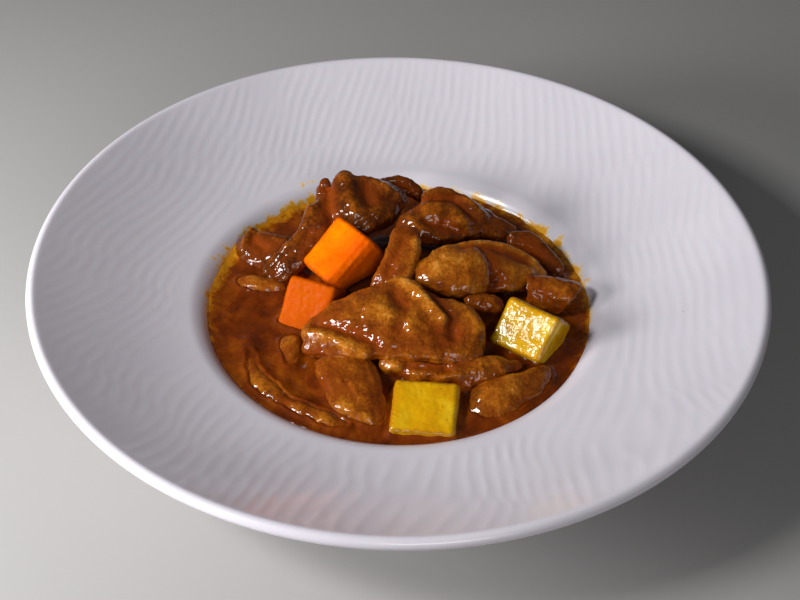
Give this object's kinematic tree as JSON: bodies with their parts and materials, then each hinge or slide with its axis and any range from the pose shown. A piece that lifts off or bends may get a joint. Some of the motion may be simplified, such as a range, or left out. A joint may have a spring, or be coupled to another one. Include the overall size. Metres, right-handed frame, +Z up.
{
  "type": "beef stew",
  "caption": "Beef stew with carrot and potato chunks in brown gravy, served in a deep white porcelain plate with a wide textured rim.",
  "frame": {"origin": "centre of the foot ring's underside, on the table", "axes": "+Z up out of the plate; the diner and the viewer are on the -Y side, +X is to their right"},
  "size_m": [0.2798, 0.2798, 0.05],
  "materials": {
    "porcelain": "white glazed porcelain, gloss",
    "gravy": "thick brown gravy, wet",
    "beef": "braised beef coated with gravy",
    "carrot": "cooked carrot, moist",
    "potato": "cooked potato stained yellow, moist"
  },
  "bodies": {
    "root": {"plate": "porcelain", "gravy": "gravy", "carrot_upper": "carrot", "carrot_lower": "carrot", "potato_right": "potato", "potato_front": "potato", "beef_centre": "beef", "beef_tongue": "beef", "beef_right_large": "beef", "beef_back_right": "beef", "beef_back_left": "beef", "beef_under": "beef", "beef_right_curl": "beef", "beef_right_edge": "beef", "beef_back_curl": "beef", "beef_left_fold": "beef", "beef_front_square": "beef", "beef_front_right": "beef", "beef_long_strip": "beef", "beef_small_middle": "beef", "beef_small_shred": "beef", "beef_left_shred": "beef"}
  },
  "joints": []
}
